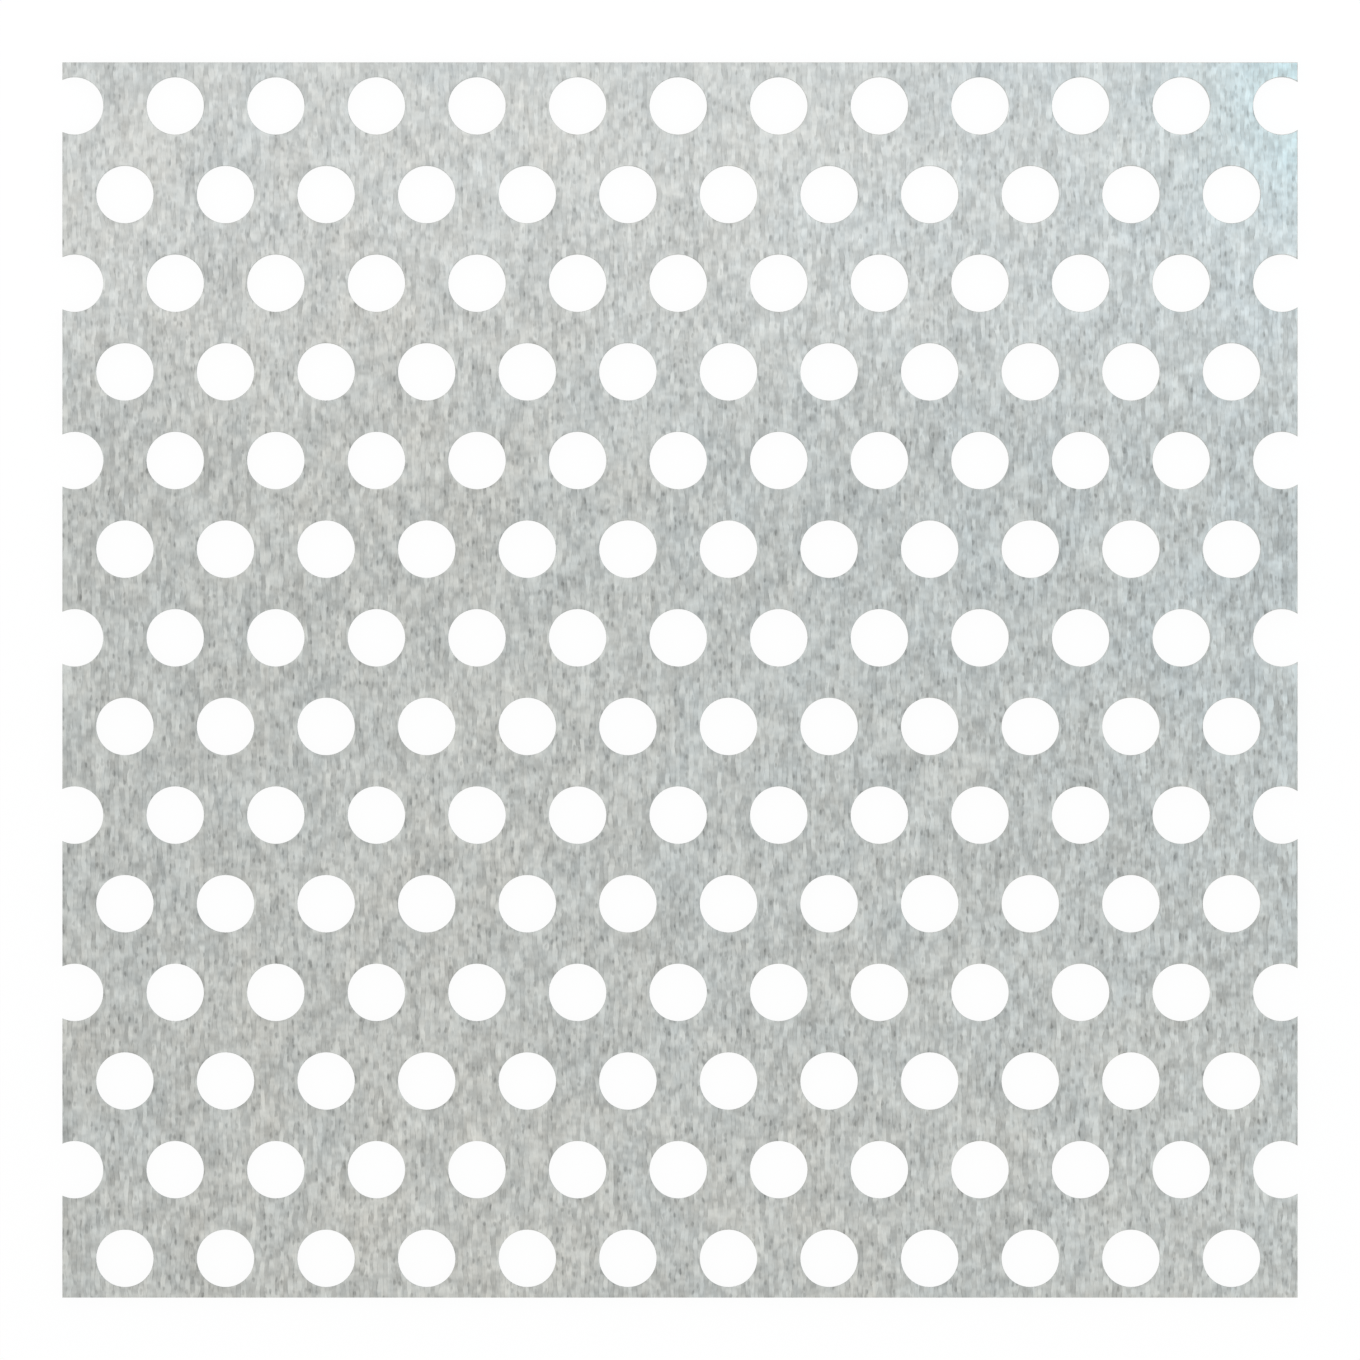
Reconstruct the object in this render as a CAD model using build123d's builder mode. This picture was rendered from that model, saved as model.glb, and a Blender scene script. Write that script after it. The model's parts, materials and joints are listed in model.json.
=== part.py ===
"""Square offcut of round-hole perforated aluminium sheet, staggered pattern, lying on its flat underside.

The sheet is one piece of rolled metal.  Its rows run across X, every second row stands half a pitch over,
and Y is the rolling direction.  It was sheared from a larger perforated sheet: the cuts along the two sides
pass through the end holes of every second row and leave open notches there, and the cuts along the first
and the last row leave plain edges.

The origin is the middle of the underside, with +Z up.
"""

import os
from math import ceil, floor

from build123d import *

# ---- Driving dimensions, in millimetres ----
sheet_width = 136.4  # sheared size across the rows, along X
sheet_length = 136.4  # sheared size along the rolling direction, Y
sheet_thickness = 1.6

hole_diameter = 6.35  # quarter-inch punch
hole_pitch = 11.11  # centre to centre along a row, 7/16 inch
row_pitch = 9.79  # centre line to centre line of neighbouring rows

first_row_margin = 4.8  # from the +Y edge to the centres of the first row
pattern_shift = -0.2  # how far the pattern's middle lies from the sheet's middle, along X

# ---- What follows from them ----
hole_radius = hole_diameter / 2
first_row_y = sheet_length / 2 - first_row_margin

# Every hole that reaches the sheet is punched, and the shears then take what hangs over an edge.
rows = floor((sheet_length - first_row_margin + hole_radius) / row_pitch) + 1
side_reach = sheet_width / 2 + hole_radius + abs(pattern_shift)


def punch_rows(first, count, columns):
    """Punches every second row: count rows from row number first on, each with this many holes."""
    middle_y = first_row_y - (first + count - 1) * row_pitch
    with Locations((pattern_shift, middle_y)):
        with GridLocations(hole_pitch, 2 * row_pitch, columns, count):
            Circle(hole_radius, mode=Mode.SUBTRACT)


def build_perforated_sheet():
    """The sheared blank with its two interleaved sets of rows, as one solid."""
    with BuildPart() as sheet:
        with BuildSketch(Plane.XY):
            Rectangle(sheet_width, sheet_length)
            # Rows 0, 2, 4 ... have a hole on the pattern's middle line, and end in the open side notches.
            punch_rows(first=0, count=ceil(rows / 2), columns=2 * floor(side_reach / hole_pitch) + 1)
            # Rows 1, 3, 5 ... stand half a pitch over, with the middle line between two holes.
            punch_rows(first=1, count=rows // 2, columns=2 * floor(side_reach / hole_pitch + 0.5))
        extrude(amount=sheet_thickness)
    sheet.part.label = "perforated_sheet"
    return sheet.part


perforated_sheet = build_perforated_sheet()

os.makedirs("parts", exist_ok=True)
export_step(perforated_sheet, "parts/perforated_sheet.step")
print(f"{perforated_sheet.label}: {perforated_sheet.volume:.0f} mm3, {len(perforated_sheet.faces())} faces")
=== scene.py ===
# %% [markdown]
# # A square of punched aluminium sheet
#
# The object is one flat piece of rolled aluminium, as thick as a coin, with round holes punched
# through it in staggered rows. It was sheared from a larger sheet, so the cuts along two sides
# run through the end holes and leave open notches there.
#
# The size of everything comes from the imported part. Its flat solid has the right outline and the
# right holes, but its rims are perfectly sharp, which real punched metal never is. So the lesson
# remodels the sheet with drawn-in rims and broken cut walls, and then gives it its rolled skin.

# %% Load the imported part
import json
from math import ceil, radians, sqrt

import bmesh
import bpy
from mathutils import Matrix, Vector


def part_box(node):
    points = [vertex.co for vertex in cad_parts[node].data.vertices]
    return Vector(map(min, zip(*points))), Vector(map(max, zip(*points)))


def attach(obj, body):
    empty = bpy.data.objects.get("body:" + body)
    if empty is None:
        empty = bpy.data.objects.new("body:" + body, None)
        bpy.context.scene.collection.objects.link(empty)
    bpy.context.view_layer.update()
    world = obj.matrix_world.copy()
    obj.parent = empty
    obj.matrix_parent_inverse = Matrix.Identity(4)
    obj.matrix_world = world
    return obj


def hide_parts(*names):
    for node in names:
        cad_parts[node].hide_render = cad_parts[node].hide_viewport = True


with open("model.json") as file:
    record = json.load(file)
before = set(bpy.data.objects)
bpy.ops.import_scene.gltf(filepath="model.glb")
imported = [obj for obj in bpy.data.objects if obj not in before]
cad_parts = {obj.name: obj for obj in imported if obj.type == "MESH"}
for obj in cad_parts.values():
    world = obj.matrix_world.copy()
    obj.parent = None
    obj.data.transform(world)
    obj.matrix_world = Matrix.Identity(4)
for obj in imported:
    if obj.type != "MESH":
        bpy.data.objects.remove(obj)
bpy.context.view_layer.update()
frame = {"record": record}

# %% [markdown]
# ## The pattern of the holes
#
# The punch strikes row after row, and every second row stands half a pitch over. The part's record
# gives the true place of twelve of the holes. Three of them are enough: two in one row, four
# pitches apart, and one that lies eleven rows further down. Reading them keeps this model and the
# packed one together if the part is ever made again with another pitch.

# %% Read the pattern from the stated holes
MM = 0.001
PITCHES_BETWEEN_STATED = 4
ROWS_BETWEEN_STATED = 11

low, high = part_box("perforated_sheet")
thickness = high.z - low.z

stated = {mount["name"]: mount for mount in frame["record"]["mounts"]}
first_hole = Vector(stated["fixing_first_left"]["pos_m"])
next_stated = Vector(stated["fixing_first_mid_left"]["pos_m"])
last_row_hole = Vector(stated["fixing_last_left"]["pos_m"])

hole_radius = stated["fixing_first_left"]["dims"]["r_mm"] * MM
pitch = (next_stated.x - first_hole.x) / PITCHES_BETWEEN_STATED
row_pitch = (first_hole.y - last_row_hole.y) / ROWS_BETWEEN_STATED
print(f"holes {2 * hole_radius / MM:.2f} mm across and {pitch / MM:.2f} mm apart")
print(f"rows {row_pitch / MM:.2f} mm apart")

# %% [markdown]
# ## Working with operators
#
# Operators act on whatever is selected, and loading the part leaves it selected. So every step
# starts by picking up exactly one object. Inside edit mode, faces and edges are picked by where
# they lie, with a small test that is true for the wanted ones.


# %% Helpers for picking things up
def pick_up(piece):
    """Makes one object the only selected one, and the active one."""
    bpy.ops.object.select_all(action="DESELECT")
    piece.select_set(True)
    bpy.context.view_layer.objects.active = piece


def select_where(piece, kind, wanted):
    """In edit mode, selects just those of one kind, EDGE or FACE, for which wanted is true."""
    bpy.ops.mesh.select_mode(type=kind)
    mesh = bmesh.from_edit_mesh(piece.data)
    members = {"EDGE": mesh.edges, "FACE": mesh.faces}[kind]
    for member in members:
        member.select_set(wanted(member))
    bmesh.update_edit_mesh(piece.data)
    return sum(member.select for member in members)


print("helpers ready")

# %% [markdown]
# ## One hole and the metal round it
#
# Cutting 175 holes into a plate with Booleans is slow and leaves long thin triangles. A sheet that
# repeats is better built like a tiled floor: one tile holds one hole and exactly the metal that
# belongs to it. For staggered rows that tile is a hexagon standing on its point, a pitch wide. It
# is stretched a little along Y, because these rows stand a little further apart than in a perfect
# honeycomb.
#
# The hexagon's sides are divided until it has as many points as the hole, and bridging the two
# loops fills the ring between them with even four-sided faces. This first tile lies outside the
# square, up and to the left of it, so that its copies only have to go right and down.

# %% Model one tile
TILE_SIDES = 6
HOLE_POINTS = 48
honeycomb_row_pitch = pitch * sqrt(3) / 2
top = high.z

first_tile = first_hole + Vector((-pitch, 2 * row_pitch, 0))
tile_place = (first_tile.x, first_tile.y, top)

bpy.ops.object.select_all(action="DESELECT")
bpy.ops.mesh.primitive_circle_add(
    vertices=TILE_SIDES, radius=pitch / sqrt(3), location=tile_place
)
sheet = bpy.context.object
sheet.name = sheet.data.name = "punched_sheet"

bpy.ops.object.mode_set(mode="EDIT")
bpy.ops.mesh.select_all(action="SELECT")
bpy.ops.mesh.subdivide(number_cuts=HOLE_POINTS // TILE_SIDES - 1)
bpy.ops.transform.resize(
    value=(1, row_pitch / honeycomb_row_pitch, 1), center_override=tile_place
)
bpy.ops.mesh.primitive_circle_add(vertices=HOLE_POINTS, radius=hole_radius, location=tile_place)
bpy.ops.mesh.select_all(action="SELECT")
bpy.ops.mesh.bridge_edge_loops()
bpy.ops.object.mode_set(mode="OBJECT")
print("one tile has", len(sheet.data.polygons), "faces")

# %% [markdown]
# ## The large sheet
#
# Two tiles make a step of the pattern: one in a row, and one half a pitch over in the row below.
# Array modifiers repeat that pair across and down, and a few more than the finished square needs,
# as the sheet in the works is larger too. Where the tiles touch, their points are merged, so the
# metal is whole.


# %% Repeat the tile
def repeat(piece, count, step):
    """Applies an array of count copies, each one step further on."""
    pick_up(piece)
    array = piece.modifiers.new("repeat", "ARRAY")
    array.use_relative_offset = False
    array.use_constant_offset = True
    array.constant_offset_displace = step
    array.count = count
    bpy.ops.object.modifier_apply(modifier=array.name)


columns = ceil((high.x - first_tile.x) / pitch) + 1
row_pairs = ceil((first_tile.y - low.y) / (2 * row_pitch))
repeat(sheet, 2, (pitch / 2, -row_pitch, 0))
repeat(sheet, columns, (pitch, 0, 0))
repeat(sheet, row_pairs, (0, -2 * row_pitch, 0))
bpy.ops.object.transform_apply(location=True, rotation=True, scale=True)

TOUCHING = 0.001 * MM
bpy.ops.object.mode_set(mode="EDIT")
bpy.ops.mesh.select_all(action="SELECT")
bpy.ops.mesh.remove_doubles(threshold=TOUCHING)
bpy.ops.object.mode_set(mode="OBJECT")
print(f"{columns} columns and {2 * row_pairs} rows of tiles, {len(sheet.data.polygons)} faces")

# %% [markdown]
# ## Shearing it to size
#
# The works cut the square out with a guillotine. Bisect does the same: each cut clears everything
# beyond its line. The side cuts pass through the end holes of every second row, and the notches
# appear by themselves. A cut can pass a hair's breadth from a point of the mesh, so points that
# end up almost on top of each other are merged, or the rim would not round over cleanly there.

# %% Shear the four sides
ON_THE_CUT = 0.0001 * MM  # points nearer to a cut than this count as on it
HAIRS_BREADTH = 0.02 * MM

bpy.ops.object.mode_set(mode="EDIT")
for corner, outwards in (
    (high, (1, 0, 0)),
    (low, (-1, 0, 0)),
    (high, (0, 1, 0)),
    (low, (0, -1, 0)),
):
    bpy.ops.mesh.select_all(action="SELECT")
    bpy.ops.mesh.bisect(
        plane_co=corner, plane_no=outwards, clear_outer=True, threshold=ON_THE_CUT
    )
bpy.ops.mesh.select_all(action="SELECT")
bpy.ops.mesh.remove_doubles(threshold=HAIRS_BREADTH)
bpy.ops.object.mode_set(mode="OBJECT")
print("sheared to", [round(side / MM, 2) for side in sheet.dimensions[:2]], "mm")

# %% [markdown]
# ## Thickness, land and break
#
# A punch doesn't cut all the way. It shears the upper part of the wall to a smooth, bright band,
# called the land, and then the rest breaks off and leaves a dull band that opens out a little
# towards the underside. Two extrusions make the two bands. The rims of the underside are then
# moved into the metal by the break's flare and laid flat again.

# %% Extrude the sheet and flare the break
LAND_SHARE = 0.62  # of the thickness
BREAK_FLARE = 0.05 * MM
SAME_HEIGHT = 0.01 * MM  # points that differ in height by less count as level with each other
LEVEL_FACE = 0.5  # a face is level where its normal reaches further than this along Z

land_depth = LAND_SHARE * thickness

bpy.ops.object.mode_set(mode="EDIT")
bpy.ops.mesh.select_mode(type="FACE")
bpy.ops.mesh.select_all(action="SELECT")
for depth in (land_depth, thickness - land_depth):
    bpy.ops.mesh.extrude_region_move(TRANSFORM_OT_translate={"value": (0, 0, -depth)})
bpy.ops.mesh.select_all(action="SELECT")
bpy.ops.mesh.normals_make_consistent(inside=False)


def on_rim(edge, height):
    """True if the edge lies at this height, between a level face and a cut wall."""
    there = all(abs(vert.co.z - height) < SAME_HEIGHT for vert in edge.verts)
    levelness = sorted(abs(face.normal.z) for face in edge.link_faces)
    return there and levelness[0] < LEVEL_FACE < levelness[-1]


lower_rims = select_where(sheet, "EDGE", lambda edge: on_rim(edge, low.z))
bpy.ops.transform.shrink_fatten(value=-BREAK_FLARE, use_even_offset=True)
bpy.ops.transform.resize(value=(1, 1, 0), center_override=(0, 0, low.z))
bpy.ops.object.mode_set(mode="OBJECT")
print(lower_rims, "edges flared round the underside")

# %% [markdown]
# ## The drawn-in rims
#
# Where the punch enters, it first pulls the skin down before it cuts, so the upper rim of each
# hole is rounded, and so is the upper edge along the sheared sides. A bevel of three segments
# rounds them. The rims catch the light as thin rings, and that is what tells the eye that the
# sheet is metal and not paper. The weighted normals afterwards keep the flat faces looking flat
# right up to the rounding.

# %% Round the upper rims
RIM_DRAW = 0.08 * MM
RIM_SEGMENTS = 3
ROUND_PROFILE = 0.5
SMOOTH_BELOW = radians(40)

bpy.ops.object.mode_set(mode="EDIT")
upper_rims = select_where(sheet, "EDGE", lambda edge: on_rim(edge, top))
bpy.ops.mesh.bevel(
    offset=RIM_DRAW,
    offset_type="OFFSET",
    segments=RIM_SEGMENTS,
    profile=ROUND_PROFILE,
    affect="EDGES",
)
bpy.ops.mesh.select_all(action="SELECT")
bpy.ops.mesh.normals_make_consistent(inside=False)
bpy.ops.object.mode_set(mode="OBJECT")

pick_up(sheet)
bpy.ops.object.shade_smooth_by_angle(angle=SMOOTH_BELOW)
weighting = sheet.modifiers.new("flat faces stay flat", "WEIGHTED_NORMAL")
weighting.keep_sharp = True
bpy.ops.object.modifier_apply(modifier=weighting.name)

check = bmesh.new()
check.from_mesh(sheet.data)
open_edges = sum(not edge.is_manifold for edge in check.edges)
print(f"{upper_rims} edges rounded, {len(check.faces)} faces, {open_edges} open edges")
print(f"metal volume {check.calc_volume(signed=True) / MM**3:.0f} mm3")
print(f"shortest edge {min(edge.calc_length() for edge in check.edges) / MM:.4f} mm")
check.free()

# %% [markdown]
# ## The metal laid out flat
#
# Programs that can't read a net of shader nodes need the finish as a picture, and then every point
# of the surface needs a place in that picture. Left to itself, Blender cuts this sheet into more
# than a thousand scraps and wastes most of the room. One by one it is easy. The flat faces stay as
# they lie. Each wall is folded out like a flap, by as much as the point lies below the top: into
# the empty round of its own hole, or outwards along the sides. The underside may share the top's
# place, because the grain is the same on both. The map is called OFBake.

# %% Lay the metal out flat
picture_width = (high.x - low.x) + 2 * thickness
picture_corner = low.xy - Vector((thickness, thickness))

sheet.data.uv_layers.active.name = "OFBake"
unfolded = bmesh.new()
unfolded.from_mesh(sheet.data)
layout = unfolded.loops.layers.uv.verify()
for face in unfolded.faces:
    underside = face.normal.z < -LEVEL_FACE
    for loop in face.loops:
        vert = loop.vert
        fold = 0 if underside else top - vert.co.z
        spot = vert.co.xy + vert.normal.xy.normalized() * fold
        loop[layout].uv = (spot - picture_corner) / picture_width
unfolded.to_mesh(sheet.data)
unfolded.free()
print(f"laid out on {len(sheet.data.uv_layers)} map, {picture_width / MM:.1f} mm wide")

# %% [markdown]
# ## Shader maths as sums
#
# A shader is a net of nodes, and sums made of Math nodes are hard to read. A small class wraps a
# node's output, so that an ordinary expression such as 1 - streaks * 0.2 adds the Math nodes. Any
# other node comes from one method of the finish, which takes the node's type, its settings and
# what goes into its sockets.


# %% A wire that can be added and multiplied, and a finish that makes nodes
class Wire:
    """The output of a shader node, usable in ordinary sums."""

    def __init__(self, finish, socket):
        self.finish = finish
        self.socket = socket

    def calculate(self, operation, *others):
        """Adds a Math node that takes this value first, and returns its result."""
        inputs = dict(enumerate((self, *others)))
        return self.finish.node("ShaderNodeMath", {"operation": operation}, inputs)

    def __add__(self, other):
        return self.calculate("ADD", other)

    def __sub__(self, other):
        return self.calculate("SUBTRACT", other)

    def __rsub__(self, other):
        """other - self, worked out as self * -1 + other because this value goes in first."""
        return self.calculate("MULTIPLY_ADD", -1, other)

    def __mul__(self, other):
        return self.calculate("MULTIPLY", other)

    __radd__ = __add__
    __rmul__ = __mul__


class Finish:
    """A material in the making, or the world's light, as a net of nodes."""

    def __init__(self, owner):
        owner.use_nodes = True
        self.owner = owner
        self.nodes = owner.node_tree.nodes
        self.links = owner.node_tree.links
        self.nodes.clear()

    def node(self, kind, settings=None, inputs=None, output=0):
        """Adds a node, sets it, fills its sockets and returns one of its outputs."""
        new = self.nodes.new(kind)
        for name, value in (settings or {}).items():
            setattr(new, name, value)
        for key, value in (inputs or {}).items():
            socket = self.socket_of(new.inputs, key)
            if isinstance(value, Wire):
                self.links.new(value.socket, socket)
            else:
                socket.default_value = value
        if not new.outputs:
            return None
        return Wire(self, self.socket_of(new.outputs, output))

    @staticmethod
    def socket_of(sockets, key):
        """Finds a socket by its number, its identifier or its name."""
        if isinstance(key, int):
            return sockets[key]
        return next((s for s in sockets if s.identifier == key), None) or sockets[key]


print("shader helpers ready")

# %% [markdown]
# ## Words for patterns
#
# Some patterns are used again and again, so each gets a word of its own. A scatter is soft noise
# whose blots have a given width, length and height. A ramp turns part of a value's range into 0
# to 1, with soft ends. A swing makes a pattern go as far below zero as above it, so that it can be
# added without making the whole lighter or darker. A blend mixes two colours, and tinted makes one
# lighter or darker.
#
# All of them read Object coordinates in millimetres, so the grain has its real size and stays on
# the metal, whichever way the sheet is turned. A pattern that reads its place on the flat pays no
# heed to the height, so it runs on over the rounded rims and is the same on both faces.


# %% Patterns on the finish
HALFWAY = 0.5  # between 0 and 1
OFFSET_WAY = (1, 1.7, 2.3)  # the way in which an offset moves the noise


def in_millimetres(finish):
    """The place on the piece, in millimetres."""
    place = finish.node("ShaderNodeTexCoord", output="Object")
    return finish.node(
        "ShaderNodeVectorMath", {"operation": "SCALE"}, {0: place, "Scale": 1 / MM}
    )


def on_the_flat(finish, place):
    """The same place with its height left out."""
    return finish.node(
        "ShaderNodeVectorMath", {"operation": "MULTIPLY"}, {0: place, 1: (1, 1, 0)}
    )


def along(finish, axis, place):
    """How far along the X, Y or Z axis the place lies."""
    return finish.node("ShaderNodeSeparateXYZ", None, {"Vector": place}, output=axis)


def scatter(finish, place, size, offset=0.0, detail=0.0, roughness=0.5):
    """Soft noise from 0 to 1 in blots of this size, which is (along X, along Y, along Z) in mm."""
    stretched = finish.node(
        "ShaderNodeVectorMath",
        {"operation": "MULTIPLY_ADD"},
        {0: place, 1: [1 / side for side in size], 2: [offset * way for way in OFFSET_WAY]},
    )
    return finish.node(
        "ShaderNodeTexNoise",
        {"noise_dimensions": "3D"},
        {"Vector": stretched, "Scale": 1.0, "Detail": detail, "Roughness": roughness},
    )


def ramp(finish, value, start, end):
    """0 at start and before it, 1 at end and past it, and smooth between them."""
    return finish.node(
        "ShaderNodeMapRange",
        {"interpolation_type": "SMOOTHSTEP"},
        {"Value": value, "From Min": start, "From Max": end},
    )


def swing(pattern, width):
    """The pattern with its range of 0 to 1 moved to lie round zero, and made this wide."""
    return (pattern - HALFWAY) * width


def blend(finish, share, first, second):
    """The first colour where share is 0, the second where it is 1."""
    return finish.node(
        "ShaderNodeMix",
        {"data_type": "RGBA"},
        {"Factor_Float": share, "A_Color": first, "B_Color": second},
        output="Result_Color",
    )


def tinted(finish, colour, brightness):
    """The colour, made lighter or darker by a factor."""
    return finish.node(
        "ShaderNodeVectorMath", {"operation": "SCALE"}, {0: colour, "Scale": brightness}
    )


print("pattern words ready")

# %% [markdown]
# ## Lanes of the rolling grain
#
# The rolls that flatten the metal are ground steel, and they print their grinding marks into it.
# So the grain lies in narrow lanes along the rolling direction, here along Y, and the lanes sway a
# little. Within a lane the metal gets lighter and darker without a hard end, but from one lane to
# the next it changes sharply. Noise alone is soft on all sides and looks like felt. Numbering the
# lanes with Floor and running a noise along each lane gives strokes with sharp sides and soft ends.
# The number times a step that isn't whole takes each lane to another part of the noise.
#
# Where two lanes meet, the metal is torn open here and there. Those seams are thin and dark. They
# come from a second noise along the lanes, and show only near a lane's border.

# %% Strokes and seams in lanes
LANE_SWAY = 0.5  # mm
SWAY_SIZE = (0.9, 1.6, 1.6)

STROKE_STEP = 7.31
DARK_STROKE = 0.3  # the noise below this is a dark stroke
LIGHT_STROKE = 0.7

SEAM_STEP = 3.7
SEAMS_PER_STROKE = 1.7
SEAM_OFFSET = 50
SEAM_CLOSED = 0.48  # the noise below this leaves the lanes whole
SEAM_OPEN = 0.60
SEAM_EDGE = 0.28  # of a lane's width, counted from its middle
LANE_EDGE = 0.5


class Lanes:
    """Lanes along Y, with strokes of one width and length in mm."""

    def __init__(self, finish, place, width, length, offset):
        self.finish = finish
        self.length = length
        self.offset = offset
        self.y = along(finish, "Y", place)
        sway = scatter(finish, place, SWAY_SIZE, offset=3 * offset)
        x = along(finish, "X", place)
        self.lanes_over = x * (1 / width) + swing(sway, LANE_SWAY / width) + offset
        self.number = self.lanes_over.calculate("FLOOR")

    def noise(self, step, per_stroke=1, offset=0, detail=0.0, roughness=0.5):
        """Noise along each lane, with so many blots to the length of a stroke."""
        place_in_lane = self.finish.node(
            "ShaderNodeCombineXYZ",
            None,
            {
                "X": self.number * step,
                "Y": self.y * (per_stroke / self.length),
                "Z": self.offset + offset,
            },
        )
        return scatter(self.finish, place_in_lane, (1, 1, 1), detail=detail, roughness=roughness)

    def strokes(self):
        """How light the metal is: 0 in a dark stroke, 1 in a light one."""
        noise = self.noise(STROKE_STEP, detail=2.0, roughness=0.6)
        return ramp(self.finish, noise, DARK_STROKE, LIGHT_STROKE)

    def seams(self):
        """1 where two lanes are torn apart, 0 elsewhere."""
        noise = self.noise(SEAM_STEP, SEAMS_PER_STROKE, SEAM_OFFSET)
        open_here = ramp(self.finish, noise, SEAM_CLOSED, SEAM_OPEN)
        from_middle = (self.lanes_over.calculate("FRACT") - HALFWAY).calculate("ABSOLUTE")
        return ramp(self.finish, from_middle, SEAM_EDGE, LANE_EDGE) * open_here


print("lanes ready")

# %% [markdown]
# ## Pits
#
# Grit and drops of oil get under the rolls and leave small dark pits. Noise can't draw them, as
# its blots all touch. A Voronoi texture can: it divides the sheet into cells, each round a point
# of its own. The distance from that point makes a spot, a little noise makes the spot ragged, and
# the cell's random colour decides whether there is a spot at all, and whether it is a faint one.

# %% Pits in cells
PIT_RIM = 0.34  # of a cell's width, counted from its point
PIT_HEART = 0.12
PIT_RAGS = (0.25, 0.35, 0.25)
PIT_RAGGEDNESS = 0.3
FAINT_SHARE = 0.3  # of the cells


def pits_in_cells(finish, place, cell, share, offset):
    """Spots in a share of the cells, which are (along X, along Y, along Z) in mm: 1 in a spot."""
    cells = {
        "Vector": finish.node(
            "ShaderNodeVectorMath",
            {"operation": "MULTIPLY_ADD"},
            {0: place, 1: [1 / side for side in cell], 2: (offset, offset, offset)},
        ),
        "Scale": 1.0,
    }
    flat = {"voronoi_dimensions": "2D"}
    from_point = finish.node("ShaderNodeTexVoronoi", flat, cells, output="Distance")
    colour = finish.node("ShaderNodeTexVoronoi", flat, cells, output="Color")
    rags = swing(scatter(finish, place, PIT_RAGS, offset=offset), PIT_RAGGEDNESS)
    spot = ramp(finish, from_point + rags, PIT_RIM, PIT_HEART)
    return spot * ramp(finish, along(finish, "X", colour), share, share - FAINT_SHARE)


print("pits ready")

# %% [markdown]
# ## The grain
#
# Mill finish is what the rolls leave: pale grey, neither polished nor brushed. Its strokes are
# about half a millimetre wide and one to two long, and fainter, longer runs lie under them. Seams,
# pits and soft blots come on top. Towards the first row the grain gets fainter. That is a painted
# sheen: it stands in for the light that glances off that side and lifts the dark strokes.
#
# Each pattern has a weight, which is how much of the brightness it takes or gives. The patterns
# are simply added up, because they come from one rolling and lie in one surface.

# %% Draw the grain
BROAD_STROKES = 0.365
FINE_STROKES = 0.11
LONG_RUNS = 0.135
BROAD_SEAMS = 0.17
FINE_SEAMS = 0.09
PITS = 0.23
BLOTS = 0.28
# painted sheen: the grain fades towards the first row, in place of light glancing off the metal
# there
PAINTED_SHEEN_FADE = 0.28  # at most, of the grain
PAINTED_SHEEN_FROM = 10  # mm from the middle, towards the first row
PAINTED_SHEEN_TO = 78

skin = Finish(bpy.data.materials.new("mill_finish_skin"))
place = on_the_flat(skin, in_millimetres(skin))

broad = Lanes(skin, place, width=0.52, length=2.0, offset=3.1)
fine = Lanes(skin, place, width=0.38, length=1.1, offset=9.1)
long_runs = Lanes(skin, place, width=0.8, length=6.0, offset=19.1)
pits = pits_in_cells(skin, place, cell=(0.62, 1.3, 0.62), share=0.5, offset=41.0)
blots = scatter(skin, place, (1.6, 2.2, 1.6), offset=21.0, detail=3.0, roughness=0.65)

strokes = (
    swing(broad.strokes(), BROAD_STROKES)
    + swing(fine.strokes(), FINE_STROKES)
    + swing(long_runs.strokes(), LONG_RUNS)
)
marks = broad.seams() * BROAD_SEAMS + fine.seams() * FINE_SEAMS + pits * PITS
grain = strokes - marks
# painted sheen: 0 in the middle, rising to 1 towards the first row, where the grain is faded
painted_sheen = ramp(skin, along(skin, "Y", place), PAINTED_SHEEN_FROM, PAINTED_SHEEN_TO)
texture = (grain + swing(blots, BLOTS)) * (1 - painted_sheen * PAINTED_SHEEN_FADE)
print("grain made of", len(skin.nodes), "nodes")

# %% [markdown]
# ## The rolled skin
#
# The grey isn't the same all over. It leans a little to blue or to straw from patch to patch, as
# the film of oxide and rolling oil does, and wide clouds make it a little lighter or darker. The
# same grain drives the colour, the roughness and a very shallow relief, as they come from one
# cause: a dark stroke is a rougher, lower one.


# %% Colour the flat faces
def bare_metal(finish, colour, roughness, height, depth):
    """Ends the net in metal, with a relief of this depth where height goes from 0 to 1."""
    relief = finish.node(
        "ShaderNodeBump", None, {"Strength": 1.0, "Distance": depth, "Height": height}
    )
    surface = finish.node(
        "ShaderNodeBsdfPrincipled",
        None,
        {"Base Color": colour, "Metallic": 1.0, "Roughness": roughness, "Normal": relief},
    )
    finish.node("ShaderNodeOutputMaterial", None, {"Surface": surface})


COOL_GREY = (0.488, 0.517, 0.508, 1)
WARM_GREY = (0.549, 0.542, 0.500, 1)
LANE_TINTS = 0.25
PATCH_TINTS = 0.9
BROAD_TINTS = 0.7
CLOUDS = 0.09
EVEN_SHADE = 1.014
SKIN_ROUGHNESS = 0.40
GRAIN_GLOSS = 0.20  # how much smoother the light strokes are
GRAIN_DEPTH = 0.012 * MM

lane_tint = Lanes(skin, place, width=0.7, length=1.6, offset=29.1).strokes()
patch_tint = scatter(skin, place, (6.0, 9.0, 6.0), offset=5.3, detail=2.0)
broad_tint = scatter(skin, place, (34.0, 40.0, 34.0), offset=123.3, detail=1.0)
clouds = scatter(skin, place, (22.0, 30.0, 22.0), offset=128.8, detail=1.0)

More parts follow.
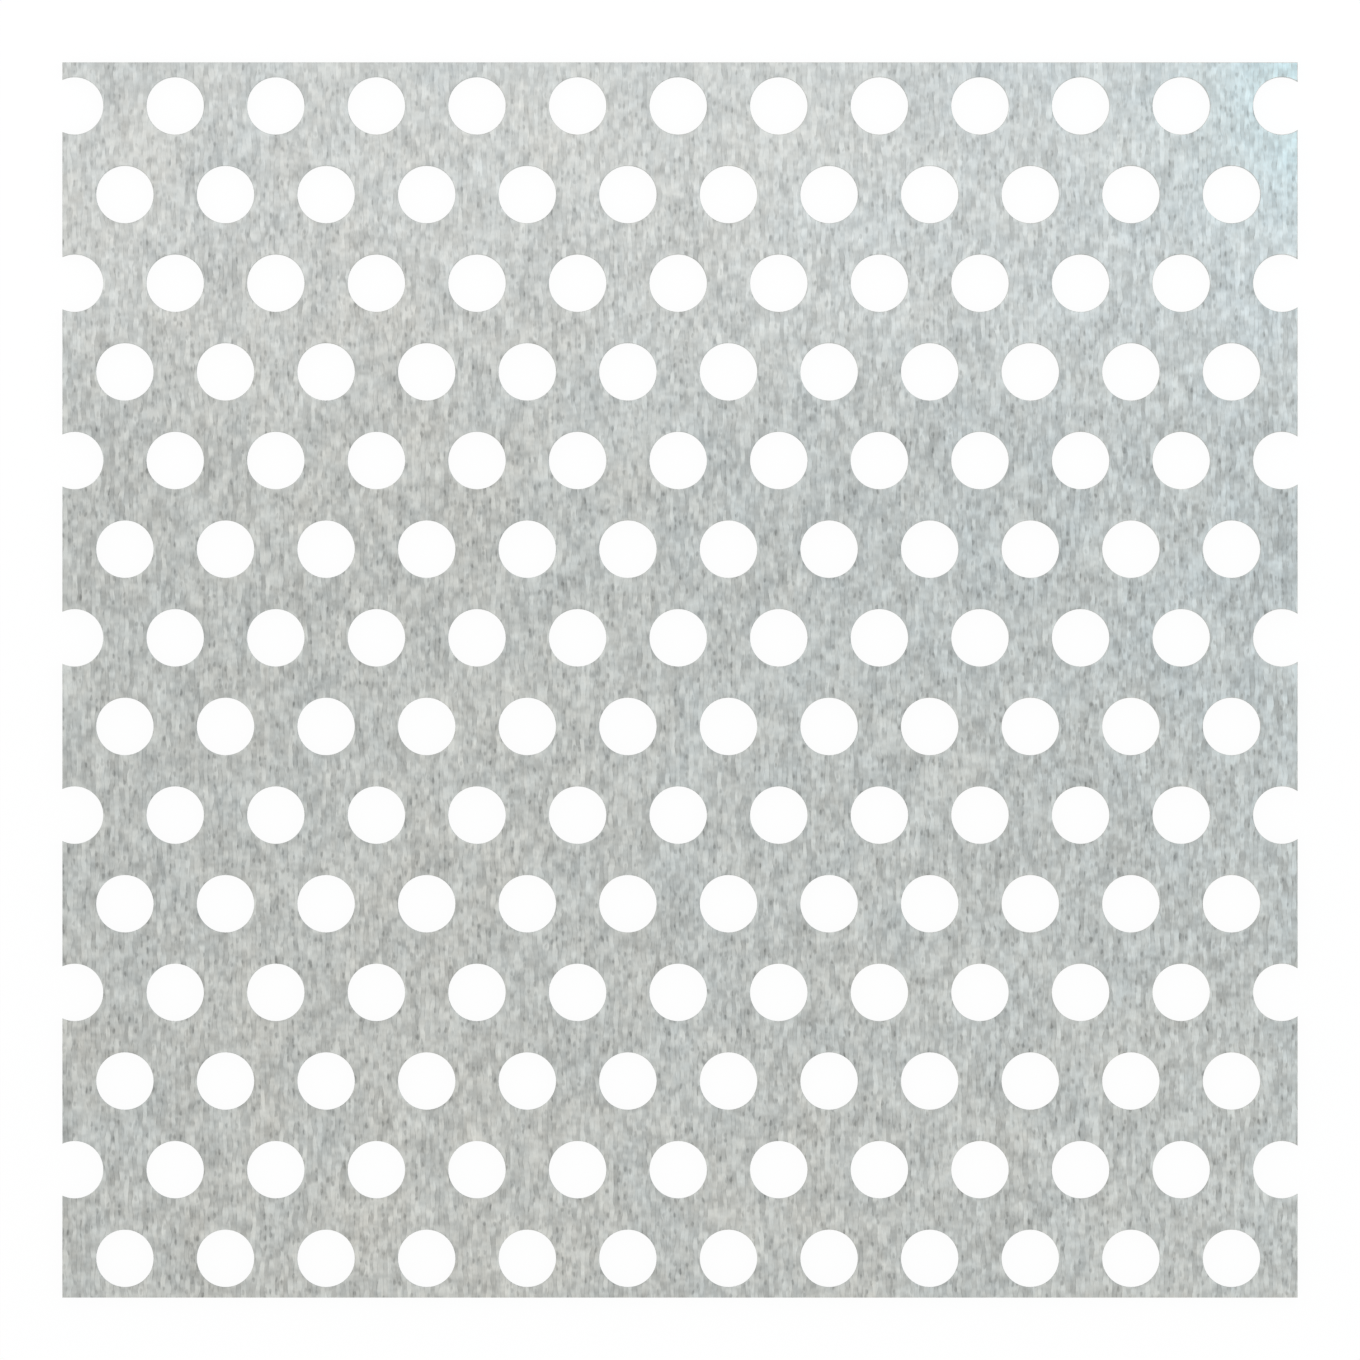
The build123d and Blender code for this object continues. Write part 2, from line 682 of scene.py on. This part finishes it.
warmth = (
    HALFWAY
    + swing(lane_tint, LANE_TINTS)
    + swing(patch_tint, PATCH_TINTS)
    + swing(broad_tint, BROAD_TINTS)
)
shade = EVEN_SHADE + texture + swing(clouds, CLOUDS)
bare_metal(
    skin,
    colour=tinted(skin, blend(skin, warmth, COOL_GREY, WARM_GREY), shade),
    roughness=SKIN_ROUGHNESS - grain * GRAIN_GLOSS,
    height=grain,
    depth=GRAIN_DEPTH,
)
print("skin made of", len(skin.nodes), "nodes")

# %% [markdown]
# ## The cut walls
#
# The wall of each hole, and the edge along each sheared side, shows how it was cut. The land is
# burnished and has fine score lines that run the way the punch went, straight down. The break
# below it is torn metal, dull and a little darker. The line between them wanders.
#
# Marks this small would take millions of faces, so the finish draws them. A ramp on the height
# tells land from break. Noise stretched along Z makes the scores, and noise that is short every
# way makes the tears.

# %% Finish the cut walls
LAND_GREY = (0.56, 0.58, 0.575, 1)
BREAK_GREY = (0.36, 0.375, 0.37, 1)
SCORES = 0.35
TEARS = 0.6
LAND_ROUGHNESS = 0.30
BREAK_ROUGHNESS = 0.62
TEAR_DEPTH = 0.03 * MM
SCORE_DEPTH_SHARE = 0.3
BORDER_WANDER = 0.5  # mm
BORDER_SOFTNESS = 0.06  # mm

wall = Finish(bpy.data.materials.new("punched_wall"))
place = in_millimetres(wall)
scores = scatter(wall, place, (0.10, 0.10, 2.5), offset=7.7, detail=1.0)
wander = scatter(wall, place, (0.9, 0.9, 9.0), offset=13.3, detail=2.0)
torn = scatter(wall, place, (0.12, 0.12, 0.09), offset=19.9, detail=2.0, roughness=0.6)

break_height = (thickness - land_depth) / MM
land = ramp(
    wall,
    along(wall, "Z", place) + swing(wander, BORDER_WANDER),
    break_height - BORDER_SOFTNESS,
    break_height + BORDER_SOFTNESS,
)
wall_shade = 1 + swing(scores, SCORES) * land + swing(torn, TEARS) * (1 - land)
bare_metal(
    wall,
    colour=tinted(wall, blend(wall, land, BREAK_GREY, LAND_GREY), wall_shade),
    roughness=BREAK_ROUGHNESS - land * (BREAK_ROUGHNESS - LAND_ROUGHNESS),
    height=scores * land * SCORE_DEPTH_SHARE + torn * (1 - land),
    depth=TEAR_DEPTH,
)
print("wall made of", len(wall.nodes), "nodes")

# %% [markdown]
# ## Putting the finishes on
#
# The skin goes all over, and then the upright faces are picked by their normals and given the
# wall finish. The rounded rims keep the skin, because they are skin that was drawn down.

# %% Give each face its finish
UPRIGHT_FACE = 0.2  # a face is a cut wall where its normal reaches less far than this along Z

pick_up(sheet)
for finish in (skin, wall):
    sheet.data.materials.append(finish.owner)
bpy.ops.object.mode_set(mode="EDIT")
wall_faces = select_where(sheet, "FACE", lambda face: abs(face.normal.z) < UPRIGHT_FACE)
sheet.active_material_index = sheet.data.materials.find(wall.owner.name)
bpy.ops.object.material_slot_assign()
bpy.ops.object.mode_set(mode="OBJECT")

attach(sheet, "root")
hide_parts("perforated_sheet")
print(wall_faces, "of", len(sheet.data.polygons), "faces are cut walls")

# %% [markdown]
# ## The floor
#
# The sheet lies on a plain white floor. To the camera, and in the metal's reflections, the floor
# glows by itself for the most part, so it stays white. The rest is an ordinary matt surface, and
# that keeps the sheet's own shadow under its edges and in its holes.

# %% Lay the floor
FLOOR_SIZE = 14
FLOOR_GAP = 0.01 * MM
MATT_WHITE = (0.95, 0.95, 0.95, 1)
FULL_WHITE = (1, 1, 1, 1)
GLOW_SHARE = 0.95

bpy.ops.object.select_all(action="DESELECT")
bpy.ops.mesh.primitive_plane_add(size=FLOOR_SIZE, location=(0, 0, low.z - FLOOR_GAP))
floor = bpy.context.object
floor.name = "floor"

paper = Finish(bpy.data.materials.new("white_floor"))
camera_ray = paper.node("ShaderNodeLightPath", output="Is Camera Ray")
glossy_ray = paper.node("ShaderNodeLightPath", output="Is Glossy Ray")
through_ray = paper.node("ShaderNodeLightPath", output="Is Transmission Ray")
matt = paper.node("ShaderNodeBsdfDiffuse", None, {"Color": MATT_WHITE})
glow = paper.node("ShaderNodeEmission", None, {"Color": FULL_WHITE, "Strength": 1.0})
white = paper.node(
    "ShaderNodeMixShader",
    None,
    {"Fac": (camera_ray + glossy_ray + through_ray) * GLOW_SHARE, 1: matt, 2: glow},
)
paper.node("ShaderNodeOutputMaterial", None, {"Surface": white})
floor.data.materials.append(paper.owner)
print(f"floor laid {FLOOR_GAP / MM} mm under the sheet")

# %% [markdown]
# ## The light
#
# Metal shows what is round it, so the light is a room more than a lamp: a pale sky that is
# brightest overhead and dims towards the horizon. Three panels shine straight down. A wide one
# hangs low over the far edge and lifts the first rows, a bluish one high over the right side cools
# that side, and a tiny one sits over the far right corner.
#
# The panels are big and weak for a reason. Seen at a low angle, metal mirrors them, and a small
# strong lamp would burn out to white there.

# %% Light the room
HORIZON_LIGHT = (0.88, 0.89, 0.90, 1)
OVERHEAD_LIGHT = (1.0, 1.0, 1.0, 1)
BRIGHT_ABOVE = 0.75  # the height in the sky, where the horizon is 0 and straight up is 1

sky = Finish(bpy.data.worlds.new("studio"))
bpy.context.scene.world = sky.owner
direction = sky.node("ShaderNodeTexCoord", output="Generated")
brightness = ramp(sky, along(sky, "Z", direction), 0.0, BRIGHT_ABOVE)
room = blend(sky, brightness, HORIZON_LIGHT, OVERHEAD_LIGHT)
light = sky.node("ShaderNodeBackground", None, {"Color": room, "Strength": 1.0})
sky.node("ShaderNodeOutputWorld", None, {"Surface": light})


def hang_panel(name, place, sides, power, colour):
    """Hangs a soft panel that shines straight down, with sides along X and Y. It isn't seen."""
    bpy.ops.object.select_all(action="DESELECT")
    bpy.ops.object.light_add(type="AREA", location=place, rotation=(0, 0, 0))
    lamp = bpy.context.object
    lamp.name = name
    lamp.data.shape = "RECTANGLE"
    lamp.data.size, lamp.data.size_y = sides
    lamp.data.energy = power
    lamp.data.color = colour
    lamp.visible_camera = False


hang_panel(
    "far_panel",
    place=(0, 0.105, 0.05),
    sides=(0.50, 0.14),
    power=0.054,
    colour=(0.89, 0.90, 1.0),
)
hang_panel(
    "right_panel",
    place=(0.15, 0.10, 0.26),
    sides=(0.20, 0.32),
    power=0.046,
    colour=(0.04, 0.56, 1.0),
)
hang_panel(
    "corner_panel",
    place=(0.076, 0.072, 0.035),
    sides=(0.02, 0.03),
    power=0.0011,
    colour=(0.0, 0.75, 1.0),
)

# %% [markdown]
# ## The camera
#
# The camera hangs straight above the sheet and looks down on it with the first row at the top. It
# stands far off with a long lens, so the walls of the holes hide behind their rims everywhere.

# %% Set up the camera
CAMERA_HEIGHT = 2.2
VIEW_PER_SHEET = 1.101

centre = (low + high) / 2
bpy.ops.object.select_all(action="DESELECT")
bpy.ops.object.camera_add(location=(centre.x, centre.y, CAMERA_HEIGHT), rotation=(0, 0, 0))
camera = bpy.context.object
view_width = (high.x - low.x) * VIEW_PER_SHEET
camera.data.lens = camera.data.sensor_width * (CAMERA_HEIGHT - top) / view_width
bpy.context.scene.camera = camera
bpy.context.scene.view_settings.view_transform = "Standard"
print(f"lens {camera.data.lens:.0f} mm")
